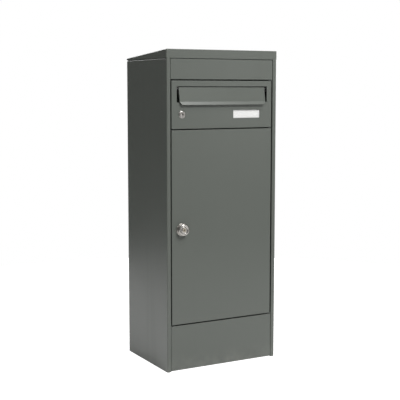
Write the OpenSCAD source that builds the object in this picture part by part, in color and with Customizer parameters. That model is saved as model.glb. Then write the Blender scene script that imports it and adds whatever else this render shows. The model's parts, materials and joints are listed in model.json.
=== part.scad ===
// Free-standing letter and parcel box pillar: one letter compartment over one parcel compartment.
// Folded sheet steel on a bolted-down base. Origin: middle of the footprint at floor level,
// X to the right, -Y to the front, +Z up. Doors and flap are drawn shut and unlocked.

/* [Cabinet] */
// Overall width
cabinet_w = 410; // [340:1:500]
// Overall depth, front strips to rear flanges
cabinet_d = 300; // [240:1:420]
// Overall height, at the front edge of the roof
cabinet_h = 1040; // [860:1:1300]
// Thickness of the shell, shelf and door sheets
sheet_t = 1.5; // [1:0.25:2]
// Inside radius of the shell's folds
fold_r = 1.2; // [0.8:0.1:1.5]
// Width of the two front strips
strip_w = 14; // [12:0.5:20]
// Width of the inward flanges that the doors close against
stop_w = 12; // [10:0.5:16]
// Width of the side panels' rear flanges
rear_flange_w = 15; // [12:1:25]
// Width of the side panels' top flanges
top_flange_w = 18; // [16:1:26]

/* [Roof] */
// Height of the roof's front band
roof_front_h = 28.5; // [20:0.5:45]
// Height of the roof's rear edge
roof_back_h = 6; // [5:0.5:15]
// Open joint between the side panels and the roof skirt
roof_gap = 1.5; // [1.5:0.25:2]
// Hairline joint between the front strips and the roof's front band
strip_joint = 0.3; // [0.2:0.1:1]
// Width of the roof's inward side flanges
roof_flange_w = 16; // [14:1:20]

/* [Front] */
// Height of the fixed fascia above the letter door
fascia_h = 65.25; // [50:0.25:90]
// Height of the letter door
letter_door_h = 153.5; // [140:0.5:220]
// Height of the fixed plinth panel
plinth_h = 148.25; // [90:0.25:220]
// Clearance under the plinth panel
plinth_lift = 2; // [1:0.5:6]
// Open joint round each door
door_gap = 3.5; // [3:0.25:5]
// Joint at the ends of the fixed panels
panel_gap = 0.5; // [0.25:0.25:2]
// Setback of doors and fixed panels behind the strips
recess = 1.5; // [0.5:0.25:3]
// Depth of a door pan, front face to rear lip
door_depth = 15; // [14:0.5:17]
// Width of a door's rear lip
door_lip_w = 10; // [8:0.5:14]
// Outside radius of the doors' front edges
door_edge_r = 2; // [1.8:0.1:3]

/* [Hinges] */
// Hinge pin centre to the door's hinge edge
pivot_inset = 6.5; // [6.5:0.25:7]
// Hinge pin centre behind the door's front face
pivot_back = 6; // [6:0.25:6.5]
// Diameter of the hinge pins
hinge_pin_d = 5; // [4:0.5:5]
// Thickness of the hinge lugs
lug_t = 2; // [1.5:0.25:2]
// How far a pin reaches into a door
pin_reach = 7; // [5:0.5:8]
// Outside diameter of the nylon bushes
bush_d = 8; // [7:0.5:9]
// Diameter of the bushes' thrust flange
bush_flange_d = 11; // [10:0.5:11.5]
// Length of a bush inside the door
bush_len = 8; // [6:0.5:10]
// Radial running clearance of pins, rods and plugs
run_clear = 0.05; // [0.02:0.01:0.1]
// End clearance between a bush and its lug
end_clear = 0.1; // [0.1:0.05:0.3]

/* [Seals] */
// Thickness of the parcel door seal and the door buffers
seal_t = 3; // [2:0.25:4]
// Width of the seal strip
seal_w = 8; // [6:0.5:9]
// Gap left between a shut door and its seal
seal_clear = 0.5; // [0.5:0.1:1]
// Diameter of the door buffers
buffer_d = 9; // [6:0.5:10]

/* [Letter flap] */
// Margin between the door's side edge and the flap opening
aperture_margin = 19; // [18:0.5:40]
// Height of the flap opening
aperture_h = 51; // [40:0.5:60]
// Top of the opening below the door's top edge
aperture_drop = 18.25; // [17:0.25:30]
// Gap at each end of the flap
flap_side_gap = 8.5; // [4:0.25:12]
// Gap above the flap
flap_top_gap = 1.5; // [1.5:0.25:3]
// Setback of the flap's top behind the door face
flap_setback = 3; // [2.5:0.25:3.5]
// How far the flap leans out down to the lip fold
flap_lean = 7.6; // [5:0.1:9]
// Length of the flap's finger lip, measured downwards
lip_drop = 10; // [6:0.5:14]
// How far the lip projects in front of its fold
lip_out = 4.5; // [3:0.25:8]
// Lip fold above the bottom of the opening
lip_fold_up = 2; // [1:0.25:4]
// Corner cut of the lip, taken off its width over the whole drop
lip_chamfer = 7; // [2:0.5:9]
// Diameter of the flap's pivot rod
flap_rod_d = 5; // [4:0.5:5]
// Pivot rod below the top of the opening
rod_drop = 7; // [7:0.25:9]
// Pivot rod behind the door face
rod_back = 9; // [9:0.25:11]
// Radius of the flap's end ears about the rod
ear_r = 6; // [5:0.25:6]

/* [Nameplate] */
// Width of the nameplate window
name_w = 102; // [60:1:110]
// Height of the nameplate window
name_h = 26; // [16:1:32]
// Window centre to the door's hinge edge
name_inset = 97; // [70:1:100]
// Thickness of the clear pane's flange
pane_t = 1.5; // [1:0.25:2]
// Thickness of the name card
card_t = 0.5; // [0.3:0.1:1]

/* [Letter lock] */
// Lock axis to the door's opening edge, on both doors
lock_inset = 37.5; // [34:0.5:50]
// Lock axis above the letter door's bottom edge
letter_lock_up = 45.75; // [40:0.25:60]
// Diameter of the lock's head
lock_head_d = 24; // [20:0.5:26]
// How far the head stands off the door
lock_head_t = 2.5; // [1.5:0.25:4]
// Diameter of the lock's threaded barrel
lock_barrel_d = 17; // [16:0.5:19]
// Diameter of the plug that takes the key
lock_plug_d = 13; // [10:0.5:13]

/* [Parcel lock] */
// Knob axis above the parcel door's bottom edge
knob_up = 311.25; // [200:0.25:400]
// Diameter of the rose on the door
rose_d = 42; // [40:1:50]
// Thickness of the rose
rose_t = 3; // [2:0.5:4]
// Diameter of the knob
knob_d = 38; // [32:0.5:39]
// Thickness of the knob
knob_t = 12.5; // [11:0.5:18]
// Running gap between knob and rose
knob_gap = 0.5; // [0.3:0.1:1]
// Diameter of the key core in the knob
core_d = 13; // [11:0.5:14]
// Depth of the key core
core_depth = 8; // [6:0.5:9]
// Diameter of the knob spindle
spindle_d = 10; // [8:0.5:12]
// Diameter of the parcel lock's threaded barrel
knob_barrel_d = 24; // [20:0.5:28]

/* [Lock cams] */
// Thickness of a cam
cam_t = 2.5; // [2:0.25:3]
// Width of a cam
cam_w = 14; // [12:0.5:18]
// Gap between a cam and the stop flange it locks behind
cam_clear = 1; // [0.8:0.1:2]
// Gap between a cam's tip and the cabinet's front lip
cam_tip_clear = 3; // [2:0.25:6]

/* [Base] */
// Thickness of the base plate
base_t = 3; // [2:0.5:5]
// Height of the base plate's upturned sides
base_side_h = 22; // [15:1:40]
// Diameter of the anchor holes
anchor_d = 11; // [9:0.5:14]
// Anchor hole spacing across the width
anchor_x = 300; // [200:1:300]
// Anchor hole spacing across the depth
anchor_y = 200; // [120:1:200]
// Diameter of the drain holes in the compartment floor
drain_d = 8; // [5:0.5:12]

/* [Fasteners] */
// Thread diameter of the panel screws
screw_d = 5; // [4:0.5:5]
// Head diameter of the panel screws
screw_head_d = 9; // [8:0.5:9]
// Head height of the panel screws
screw_head_t = 2.5; // [2:0.25:4]
// Clearance of the screw holes, on the radius
screw_clear = 0.25; // [0.1:0.05:0.5]
// Diameter of the rivets in the rear flanges
rivet_d = 4.8; // [3.2:0.1:4.8]
// Head diameter of the rivets
rivet_head_d = 9.5; // [7:0.5:10]
// Head height of the rivets
rivet_head_t = 1.2; // [0.8:0.1:1.5]
// Largest spacing between rivets
rivet_pitch = 165; // [100:1:250]

/* [Hidden] */
$fn = 64;
bend_steps = 5;
fit = 0.25;             // assembly clearance between fixed sheets
seat_clear = 0.05;      // paint film between a fixed panel and its stop flange
t = sheet_t;
mid = t / 2;
bend_mid = fold_r + mid; // fold radius on the sheet's middle line
bend_out = fold_r + t;   // fold radius outside
over = 1;                // how far a cutter runs past what it cuts

// Cabinet box and the levels up the front
half_w = cabinet_w / 2;
half_d = cabinet_d / 2;
front_y = -half_d;
roof_z = cabinet_h - roof_front_h;
side_top = roof_z - roof_gap;
strip_top = roof_z - strip_joint;
fascia_z0 = side_top - fascia_h;
letter_z1 = fascia_z0 - door_gap;
letter_z0 = letter_z1 - letter_door_h;
plinth_z1 = plinth_lift + plinth_h;
parcel_z0 = plinth_z1 + door_gap;
parcel_z1 = letter_z0 - door_gap;
shelf_z = (letter_z0 + parcel_z1) / 2 - mid; // underside of the divider shelf
floor_z = plinth_z1 - t;                     // underside of the compartment floor

// Plan of the front
strip_x = half_w - strip_w;          // inner face of the front lips
door_x = strip_x - door_gap;         // side edges of the doors
panel_x = strip_x - panel_gap;       // side edges of the fixed panels
face_y = front_y + recess;           // front faces of doors and fixed panels
door_back_y = face_y + door_depth;
stop_y = door_back_y + seal_t + seal_clear; // front faces of the stop flanges
stop_x = strip_x - stop_w;
stop_back_y = stop_y + t;
wall_x = half_w - t;                 // inner face of the side panels
rear_y = half_d - 2 * t;             // inner face of the rear panel
corner_y = front_y + bend_out + t;   // where the side panels' top fold starts
pivot = [door_x - pivot_inset, face_y + pivot_back];
thrust_t = (door_gap - lug_t) / 2 - end_clear;
swing_r = norm([pivot_inset, door_depth - pivot_back]); // reach of a door's rear edge round its pin

// How far a fold's inside fillet stands out of one sheet, at a distance from the other
function fillet_reach(from) =
    from >= fold_r ? 0 : fold_r - sqrt(fold_r * fold_r - (fold_r - from) * (fold_r - from));
panel_back_y = stop_y - fillet_reach(panel_gap) - seat_clear; // rear lips of the fixed panels

// Letter flap
aperture_x = door_x - aperture_margin;
aperture_z1 = letter_z1 - aperture_drop;
aperture_z0 = aperture_z1 - aperture_h;
flap_x = aperture_x - flap_side_gap;
flap_z1 = aperture_z1 - flap_top_gap;
flap_y = face_y + flap_setback;
fold_z = aperture_z0 + lip_fold_up;
rod_y = face_y + rod_back;
rod_z = aperture_z1 - rod_drop;
bracket_x = aperture_x + t;          // inner faces of the rod brackets
bracket_half_h = 10;
clip_x = bracket_x + t + 0.2;        // outer faces of the rod brackets, plus play
clip_t = 0.8;
groove_r = flap_rod_d / 2 - 0.5;
rod_end = clip_x + clip_t + 1.5;

// Locks
lock_x = -door_x + lock_inset;
letter_lock_z = letter_z0 + letter_lock_up;
knob_z = parcel_z0 + knob_up;
cam_y = stop_back_y + cam_clear;
cam_len = lock_inset + door_gap - cam_tip_clear;
barrel_y = cam_y - 0.5;              // rear ends of both lock barrels
nut_t = 5;
tail_d = 8;                          // shafts that carry the cams
plug_recess = 0.6;                   // ring round the letter lock's plug, below the head's rim
knob_y1 = face_y - rose_t - knob_gap;
knob_y0 = knob_y1 - knob_t;
core_seat_t = 2;                     // web between the key core and the spindle

// Nameplate
name_x = door_x - name_inset;
name_z = letter_lock_z;
pane_y = face_y + t;                 // the pane's flange lies on the inside of the sheet
card_y = pane_y + pane_t;

// Trays and rails
upstand_h = 15;
rail_w = 15;
bracket_t = 2;

// Hinge lugs
lug_z = [letter_z1 + door_gap / 2, letter_z0 - door_gap / 2, parcel_z0 - door_gap / 2];
lug_front_y = face_y + t;
lug_x = pivot[0] - 9;
lug_corner_r = 5;

// Screws and rivets
roof_slope = atan2(roof_front_h - roof_back_h, cabinet_d);
screw_hole_r = screw_d / 2 + screw_clear;
screw_head_r = screw_head_d / 2;
roof_screw_x = half_w - top_flange_w / 2 - 1;
roof_screw_y = half_d - 40;
fascia_screw_x = stop_x + stop_w / 2 - 1;
fascia_screw_z = [fascia_z0 + 15, side_top - 18];
plinth_screw_x = panel_x - 3 * t - screw_head_d;
plinth_screw_y = face_y + door_depth / 2 + t;
rivet_x = half_w - rear_flange_w / 2;
rivet_count = ceil((side_top - 2 * base_side_h) / rivet_pitch);

paint = [0.42, 0.44, 0.41];
inner_paint = [0.38, 0.4, 0.38];
nickel = [0.78, 0.76, 0.7];
zinc = [0.7, 0.71, 0.72];
steel = [0.6, 0.6, 0.6];
brass = [0.72, 0.6, 0.36];
nylon = [0.2, 0.2, 0.2];
rubber = [0.1, 0.1, 0.1];

// ---- Helpers: sections drawn in two axes and run along the third ----
module along_x(x0, x1) {
    translate([x0, 0, 0]) rotate([90, 0, 90]) linear_extrude(x1 - x0) children();
}

module along_y(y0, y1) {
    translate([0, y1, 0]) rotate([90, 0, 0]) linear_extrude(y1 - y0) children();
}

module along_z(z0, z1) {
    translate([0, 0, z0]) linear_extrude(z1 - z0) children();
}

module block(x0, x1, y0, y1, z0, z1) {
    translate([x0, y0, z0]) cube([x1 - x0, y1 - y0, z1 - z0]);
}

module bar_x(y, z, r, x0, x1) {
    translate([x0, y, z]) rotate([0, 90, 0]) cylinder(r = r, h = x1 - x0);
}

module bar_y(x, z, r, y0, y1, sides = $fn) {
    translate([x, y1, z]) rotate([90, 0, 0]) cylinder(r = r, h = y1 - y0, $fn = sides);
}

module bar_z(p, r, z0, z1) {
    translate([p[0], p[1], z0]) cylinder(r = r, h = z1 - z0);
}

module both_sides() {
    children();
    mirror([1, 0, 0]) children();
}

// Folded sheet: the polygon round a middle line with every corner bent to bend_mid
function unit(v) = v / norm(v);
function left_of(v) = [-v[1], v[0]];
function turned(v, a) = [v[0] * cos(a) - v[1] * sin(a), v[0] * sin(a) + v[1] * cos(a)];
function turn_angle(u, v) = atan2(u[0] * v[1] - u[1] * v[0], u * v);
function reversed(list) = [for (i = [len(list) - 1 : -1 : 0]) list[i]];
function corner(a, b, c, r, side) =
    let (u = unit(b - a), phi = turn_angle(u, unit(c - b)), s = sign(phi),
         centre = b - u * r * tan(abs(phi) / 2) + left_of(u) * r * s)
    [for (k = [0 : bend_steps])
        centre - s * turned(left_of(u), phi * k / bend_steps) * (r - s * side)];
function sheet_side(path, r, side) =
    let (last = len(path) - 1)
    [path[0] + left_of(unit(path[1] - path[0])) * side,
     for (i = [1 : 1 : last - 1]) each corner(path[i - 1], path[i], path[i + 1], r, side),
     path[last] + left_of(unit(path[last] - path[last - 1])) * side];

module folded(path, thick = t, r = bend_mid) {
    polygon(concat(sheet_side(path, r, thick / 2), reversed(sheet_side(path, r, -thick / 2))));
}

// Rectangle a0..a1 by b0..b1 whose two corners at b0 are rounded
function arc(centre, r, from, to) =
    [for (k = [0 : bend_steps])
        centre + r * [cos(from + (to - from) * k / bend_steps), sin(from + (to - from) * k / bend_steps)]];
function round_front(a0, a1, b0, b1, r) =
    concat([[a1, b1], [a0, b1]], arc([a0 + r, b0 + r], r, 180, 270), arc([a1 - r, b0 + r], r, 270, 360));
function swapped(points) = [for (p = points) [p[1], p[0]]];

module pan_block(x0, x1, y0, y1, z0, z1, r) {
    intersection() {
        along_z(z0, z1) polygon(round_front(x0, x1, y0, y1, r));
        along_x(x0, x1) polygon(swapped(round_front(z0, z1, y0, y1, r)));
    }
}

// Sheet pan with its open side at y1 and an inward lip there
module pan(x, y0, y1, z0, z1, lip) {
    difference() {
        pan_block(-x, x, y0, y1, z0, z1, door_edge_r);
        pan_block(-x + t, x - t, y0 + t, y1 - t, z0 + t, z1 - t, door_edge_r - t);
        block(-x + lip, x - lip, y0 + 2 * t, y1 + over, z0 + lip, z1 - lip);
    }
}

// ---- Cabinet shell ----
function side_path() = [
    [-half_w + rear_flange_w, half_d - mid],
    [-half_w + mid, half_d - mid],
    [-half_w + mid, front_y + mid],
    [-strip_x - mid, front_y + mid],
    [-strip_x - mid, stop_y + mid],
    [-stop_x, stop_y + mid]
];

function rivet_z(i) = base_side_h + (side_top - 2 * base_side_h) * i / rivet_count;

module roof_screw_places() {
    for (sx = [-1, 1], sy = [-1, 1]) translate([sx * roof_screw_x, sy * roof_screw_y, 0]) children();
}

module side_panel() {
    difference() {
        union() {
            along_z(0, side_top - bend_out) folded(side_path());
            along_z(side_top - bend_out, strip_top)
                folded([[-half_w + mid, corner_y], each [for (i = [2 : 5]) side_path()[i]]]);
            along_y(corner_y, half_d - bend_out)
                folded([[-half_w + mid, side_top - bend_out],
                        [-half_w + mid, side_top - mid],
                        [-half_w + top_flange_w, side_top - mid]]);
        }
        block(-strip_x, 0, front_y - over, stop_y, side_top - 2 * t, roof_z);
        roof_screw_places() bar_z([0, 0], screw_hole_r, side_top - t - over, side_top + over);
        for (z = fascia_screw_z) bar_y(-fascia_screw_x, z, screw_hole_r, stop_y - over, stop_back_y + over);
        for (i = [0 : rivet_count])
            bar_y(-rivet_x, rivet_z(i), rivet_d / 2, half_d - t - over, half_d + over);
    }
}

module left_side_panel() {
    color(paint) side_panel();
}

module right_side_panel() {
    color(paint) mirror([1, 0, 0]) side_panel();
}

module rear_panel() {
    color(inner_paint) difference() {
        block(-wall_x + fold_r, wall_x - fold_r, rear_y, rear_y + t, 0, side_top - t - fit);
        for (i = [0 : rivet_count], sx = [-1, 1])
            bar_y(sx * rivet_x, rivet_z(i), rivet_d / 2, rear_y - over, rear_y + t + over);
    }
}

// Outline of the roof in Y and Z, set in from the outside by inset
module roof_side_section(inset) {
    top = cabinet_h - inset / cos(roof_slope);
    polygon([
        [front_y + inset, roof_z + inset], [half_d - inset, roof_z + inset],
        [half_d - inset, top - (cabinet_d - inset) * tan(roof_slope)],
        each arc([front_y + inset + door_edge_r, top - door_edge_r - inset * tan(roof_slope)],
                 door_edge_r, 90 - roof_slope, 180)
    ]);
}

module roof_solid(inset) {
    slope_len = cabinet_d / cos(roof_slope) + 2 * over;
    x = half_w - inset;
    intersection() {
        along_x(-x, x) roof_side_section(inset);
        translate([0, front_y, cabinet_h - inset]) rotate([-roof_slope, 0, 0])
            along_y(-roof_front_h, slope_len)
                polygon([for (p = round_front(-x, x, 0, 3 * roof_front_h, door_edge_r)) [p[0], -p[1]]]);
    }
}

module roof() {
    color(paint) difference() {
        roof_solid(0);
        roof_solid(t);
        block(-half_w + roof_flange_w, half_w - roof_flange_w, front_y + roof_flange_w,
              half_d - roof_flange_w, roof_z - over, roof_z + 2 * t);
        roof_screw_places() bar_z([0, 0], screw_d / 2, roof_z - over, roof_z + t + over);
    }
}

module inner_top() {
    color(inner_paint) difference() {
        block(-half_w + 2 * t, half_w - 2 * t, stop_back_y + fit, rear_y, side_top, roof_z);
        roof_screw_places() bar_z([0, 0], screw_hole_r, side_top - over, roof_z + over);
    }
}

module top_fascia() {
    color(paint) difference() {
        pan(panel_x, face_y, panel_back_y, fascia_z0, side_top, door_lip_w);
        for (z = fascia_screw_z, sx = [-1, 1])
            bar_y(sx * fascia_screw_x, z, screw_d / 2, panel_back_y - t - over, stop_y + over);
    }
}

module plinth_panel() {
    color(paint) difference() {
        pan(panel_x, face_y, panel_back_y, plinth_lift, plinth_z1, door_lip_w);
        for (sx = [-1, 1])
            bar_z([sx * plinth_screw_x, plinth_screw_y], screw_hole_r, floor_z - over, plinth_z1 + over);
    }
}

module plinth_brackets() {
    y0 = plinth_screw_y - screw_head_r - 1;
    y1 = panel_back_y - t - fit;
    color(zinc) both_sides() difference() {
        union() {
            block(plinth_screw_x - screw_head_d, panel_x - t, y0, y1, floor_z - bracket_t, floor_z);
            block(panel_x - t - bracket_t, panel_x - t, y0, y1, floor_z - base_side_h, floor_z);
        }
        bar_z([plinth_screw_x, plinth_screw_y], screw_d / 2, floor_z - bracket_t - over, floor_z + over);
    }
}

// ---- Compartment sheets ----
// Tray across the cabinet: rear upstand, level sheet and front flange. Its front corners clear the
// stop flanges, and a tongue on each closes the hollow front strip
module tray(z, front_to) {
    low = min(z, front_to) - over;
    high = max(z + upstand_h, front_to) + over;
    difference() {
        along_x(-wall_x + fit, wall_x - fit)
            folded([[rear_y - mid, z + upstand_h], [rear_y - mid, z + mid],
                    [stop_y + mid, z + mid], [stop_y + mid, front_to]]);
        both_sides() block(stop_x - fit, half_w, stop_y - over, stop_back_y + fit, low, high);
    }
    both_sides()
        block(strip_x + bend_out, wall_x - fit, front_y + bend_out + fit, stop_back_y + over, z, z + t);
}

module divider_shelf() {
    color(inner_paint) tray(shelf_z, parcel_z1 - stop_w);
}

module letter_sill() {
    color(inner_paint) along_x(-stop_x + fit, stop_x - fit)
        folded([[stop_y + 2 * rail_w, shelf_z + t + mid], [stop_y + mid, shelf_z + t + mid],
                [stop_y + mid, letter_z0 + stop_w]]);
}

module floor_panel() {
    color(inner_paint) difference() {
        tray(floor_z, parcel_z0 + stop_w);
        for (sx = [-1, 1], sy = [-1, 1])
            bar_z([sx * half_w / 2, sy * half_d / 2], drain_d / 2, floor_z - over, floor_z + t + over);
    }
}

// Pair of angles fixed to the side panels under a tray
module rails(z) {
    both_sides() along_y(stop_back_y + rail_w, rear_y - rail_w)
        folded([[-wall_x + mid, z - rail_w], [-wall_x + mid, z - mid], [-wall_x + rail_w, z - mid]]);
}

module shelf_rails() {
    color(inner_paint) rails(shelf_z);
}

module floor_rails() {
    color(inner_paint) rails(floor_z);
}

module base_plate() {
    base_mid = base_t / 2;
    color(zinc) difference() {
        along_y(stop_back_y + fit, rear_y - fit)
            folded([[-wall_x + base_mid, base_side_h], [-wall_x + base_mid, base_mid],
                    [wall_x - base_mid, base_mid], [wall_x - base_mid, base_side_h]],
                   base_t, base_t);
        for (sx = [-1, 1], sy = [-1, 1])
            bar_z([sx * anchor_x / 2, sy * anchor_y / 2], anchor_d / 2, -over, base_t + over);
    }
}

// ---- Hinges: lugs welded in the corner of front lip and stop flange, pins pressed into them ----
module hinge_lug(z) {
    color(paint) difference() {
        along_z(z - lug_t / 2, z + lug_t / 2)
            polygon(concat([[strip_x, stop_y - fold_r], [strip_x - fold_r, stop_y], [lug_x, stop_y]],
                           arc([lug_x + lug_corner_r, lug_front_y + lug_corner_r], lug_corner_r, 180, 270),
                           [[strip_x, lug_front_y]]));
        bar_z(pivot, hinge_pin_d / 2, z - lug_t, z + lug_t);
    }
}

module upper_hinge_lug() {
    hinge_lug(lug_z[0]);
}

module middle_hinge_lug() {
    hinge_lug(lug_z[1]);
}

module lower_hinge_lug() {
    hinge_lug(lug_z[2]);
}

module hinge_pins() {
    color(steel) {
        bar_z(pivot, hinge_pin_d / 2, letter_z1 - pin_reach, lug_z[0] + lug_t / 2);
        bar_z(pivot, hinge_pin_d / 2, parcel_z1 - pin_reach, letter_z0 + pin_reach);
        bar_z(pivot, hinge_pin_d / 2, lug_z[2] - lug_t / 2, parcel_z0 + pin_reach);
    }
}

// Bush in a door's edge at z; up is 1 where the door lies above the edge, -1 where it lies below
module door_bush(z, up) {
    translate([pivot[0], pivot[1], z]) mirror([0, 0, up > 0 ? 0 : 1]) difference() {
        union() {
            translate([0, 0, -thrust_t]) cylinder(d = bush_flange_d, h = thrust_t);
            cylinder(d = bush_d, h = bush_len);
        }
        translate([0, 0, -over - thrust_t])
            cylinder(r = hinge_pin_d / 2 + run_clear, h = bush_len + thrust_t + 2 * over);
    }
}

module letter_door_bushes() {
    color(nylon) {
        door_bush(letter_z0, 1);
        door_bush(letter_z1, -1);
    }
}

module parcel_door_bushes() {
    color(nylon) {
        door_bush(parcel_z0, 1);
        door_bush(parcel_z1, -1);
    }
}

// ---- Fasteners ----
module roof_screws() {
    color(zinc) roof_screw_places() {
        bar_z([0, 0], screw_d / 2, side_top - t, roof_z + 2 * t);
        bar_z([0, 0], screw_head_r, side_top - t - screw_head_t, side_top - t);
    }
}

module fascia_screws() {
    color(zinc) for (z = fascia_screw_z, sx = [-1, 1]) {
        bar_y(sx * fascia_screw_x, z, screw_d / 2, stop_y - 2 * t, stop_back_y);
        bar_y(sx * fascia_screw_x, z, screw_head_r, stop_back_y, stop_back_y + screw_head_t);
    }
}

module plinth_screws() {
    flat_head_t = (door_gap - lug_t) / 2;
    color(zinc) for (sx = [-1, 1]) {
        bar_z([sx * plinth_screw_x, plinth_screw_y], screw_d / 2, floor_z - 2 * bracket_t, plinth_z1);
        bar_z([sx * plinth_screw_x, plinth_screw_y], screw_head_r, plinth_z1, plinth_z1 + flat_head_t);
    }
}

module rear_rivets() {
    color(paint) for (i = [0 : rivet_count], sx = [-1, 1]) {
        bar_y(sx * rivet_x, rivet_z(i), rivet_d / 2, rear_y - t, half_d);
        bar_y(sx * rivet_x, rivet_z(i), rivet_head_d / 2, half_d, half_d + rivet_head_t);
    }
}

// ---- Seals and buffers ----
module parcel_door_seal() {
    z0 = parcel_z0 + t;
    z1 = parcel_z1 - t;
    color(rubber) difference() {
        block(-strip_x + t, pivot[0] - swing_r, stop_y - seal_t, stop_y, z0, z1);
        block(-strip_x + t + seal_w, stop_x, stop_y - seal_t - over, stop_y + over, z0 + seal_w, z1 - seal_w);
    }
}

module letter_door_buffers() {
    in_from_end = 25;
    color(rubber) for (z = [letter_z0 + in_from_end, letter_z1 - in_from_end])
        bar_y(-strip_x + stop_w / 2, z, buffer_d / 2, stop_y - seal_t, stop_y);
}

// ---- Letter door ----
module door_pan(z0, z1) {
    difference() {
        pan(door_x, face_y, door_back_y, z0, z1, door_lip_w);
        bar_z(pivot, bush_d / 2, z0 - over, z0 + t + over);
        bar_z(pivot, bush_d / 2, z1 - t - over, z1 + over);
    }
}

module letter_door_panel() {
    color(paint) difference() {
        door_pan(letter_z0, letter_z1);
        block(-aperture_x, aperture_x, face_y - over, face_y + t + over, aperture_z0, aperture_z1);
        block(name_x - name_w / 2, name_x + name_w / 2, face_y - over, face_y + t + over,
              name_z - name_h / 2, name_z + name_h / 2);
        bar_y(lock_x, letter_lock_z, lock_barrel_d / 2, face_y - over, face_y + t + over);
    }
}

module flap_brackets() {
    foot = 8;
    color(zinc) both_sides() difference() {
        along_z(rod_z - bracket_half_h, rod_z + bracket_half_h)
            folded([[bracket_x + foot, face_y + t + mid], [bracket_x + mid, face_y + t + mid],
                    [bracket_x + mid, rod_y + flap_rod_d]]);
        bar_x(rod_y, rod_z, flap_rod_d / 2, bracket_x - over, bracket_x + t + over);
    }
}

module flap_rod() {
    color(steel) difference() {
        bar_x(rod_y, rod_z, flap_rod_d / 2, -rod_end, rod_end);
        both_sides() difference() {
            bar_x(rod_y, rod_z, flap_rod_d, clip_x, clip_x + clip_t);
            bar_x(rod_y, rod_z, groove_r, bracket_x, rod_end);
        }
    }
}

module flap_rod_clips() {
    clip_r = flap_rod_d / 2 + 2;
    color(steel) both_sides() along_x(clip_x, clip_x + clip_t) translate([rod_y, rod_z]) difference() {
        circle(r = clip_r);
        circle(r = groove_r);
        translate([-groove_r, 0]) square([2 * groove_r, clip_r + over]);
    }
}

module flap_spacers() {
    wall = 1.5;
    play = 0.3;
    color(nylon) both_sides() difference() {
        bar_x(rod_y, rod_z, flap_rod_d / 2 + wall, flap_x + play, bracket_x);
        bar_x(rod_y, rod_z, flap_rod_d / 2, flap_x, bracket_x + over);
    }
}

module flap_buffers() {
    pad = [12, 1, 4];
    x = flap_x - 30;
    z = aperture_z0 - 5;
    color(rubber) both_sides() block(x, x + pad[0], face_y - pad[1], face_y, z, z + pad[2]);
}

module mail_hood() {
    hood_x = aperture_x - 2 * t;
    hood_z = aperture_z1 + 4 * t;
    color(inner_paint) along_x(-hood_x, hood_x)
        folded([[face_y + t + mid, letter_z1 - 2 * t - fit], [face_y + t + mid, hood_z],
                [stop_y + 3 * t, hood_z], [stop_y + 8 * t, hood_z - aperture_h / 2]]);
}

module nameplate_pane() {
    lap = 4;
    play = 0.2;
    color([0.85, 0.9, 0.92, 0.4]) union() {
        block(name_x - name_w / 2 + play, name_x + name_w / 2 - play, face_y + play, pane_y,
              name_z - name_h / 2 + play, name_z + name_h / 2 - play);
        block(name_x - name_w / 2 - lap, name_x + name_w / 2 + lap, pane_y, card_y,
              name_z - name_h / 2 - lap, name_z + name_h / 2 + lap);
    }
}

module nameplate_card() {
    lap = 3;
    color([0.95, 0.95, 0.95]) block(name_x - name_w / 2 - lap, name_x + name_w / 2 + lap, card_y,
        card_y + card_t, name_z - name_h / 2 - lap, name_z + name_h / 2 + lap);
}

module nameplate_holder() {
    lap = 4;
    wall = 2;
    module frame(grow, y0, y1) {
        block(name_x - name_w / 2 - grow, name_x + name_w / 2 + grow, y0, y1,
              name_z - name_h / 2 - grow, name_z + name_h / 2 + grow);
    }
    color(nylon) difference() {
        frame(lap + wall, pane_y, card_y + card_t + wall);
        frame(lap, pane_y - over, card_y + card_t);
    }
}

module letter_lock_housing() {
    edge_r = 1.5;
    rim = [lock_plug_d / 2 + edge_r, lock_head_t];
    bore_r = lock_plug_d / 2 + run_clear;
    color(nickel) difference() {
        union() {
            on_door_face(letter_lock_z) rotate_extrude() polygon([
                [0, 0], [lock_head_d / 2, 0],
                each arc([lock_head_d / 2 - edge_r, lock_head_t - edge_r], edge_r, 0, 90),
                rim, rim - [0, plug_recess], [0, lock_head_t - plug_recess]]);
            bar_y(lock_x, letter_lock_z, lock_barrel_d / 2, face_y, barrel_y);
        }
        bar_y(lock_x, letter_lock_z, bore_r, face_y - lock_head_t - over, barrel_y + over);
    }
}

// Stands a shape drawn on the XY plane out of the doors' front face at the lock axis
module on_door_face(z) {
    translate([lock_x, face_y, z]) rotate([90, 0, 0]) children();
}

module letter_lock_nut() {
    nut_r = lock_barrel_d / 2 + 4.5;
    color(zinc) difference() {
        bar_y(lock_x, letter_lock_z, nut_r, face_y + t, face_y + t + nut_t, 6);
        bar_y(lock_x, letter_lock_z, lock_barrel_d / 2, face_y, face_y + 2 * t + nut_t);
    }
}

// ---- Letter flap ----
module letter_flap() {
    fold_y = flap_y - flap_lean;
    ear_top = flap_z1 - t;
    ear_low = fold_z + 2 * t;
    cut_z = fold_z - lip_drop;
    color(paint) difference() {
        union() {
            along_x(-flap_x, flap_x)
                folded([[rod_y, flap_z1 - mid], [flap_y + mid, flap_z1 - mid], [fold_y + mid, fold_z],
                        [fold_y - lip_out + mid, fold_z - lip_drop]]);
            both_sides() along_x(flap_x - t, flap_x) {
                translate([rod_y, rod_z]) circle(r = ear_r);
                polygon([[rod_y, ear_top], [flap_y + t, ear_top],
                         [fold_y + mid, ear_low], [fold_y + 3 * t, ear_low],
                         [rod_y + ear_r * cos(60), rod_z - ear_r * sin(60)], [rod_y + ear_r - t, rod_z]]);
            }
        }
        bar_x(rod_y, rod_z, flap_rod_d / 2 + run_clear, -half_w, half_w);
        both_sides() along_y(fold_y - 2 * lip_out, flap_y)
            polygon([[flap_x - lip_chamfer, cut_z], [flap_x, fold_z], [flap_x + over, fold_z],
                     [flap_x + over, cut_z - over], [flap_x - lip_chamfer, cut_z - over]]);
    }
}

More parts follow.
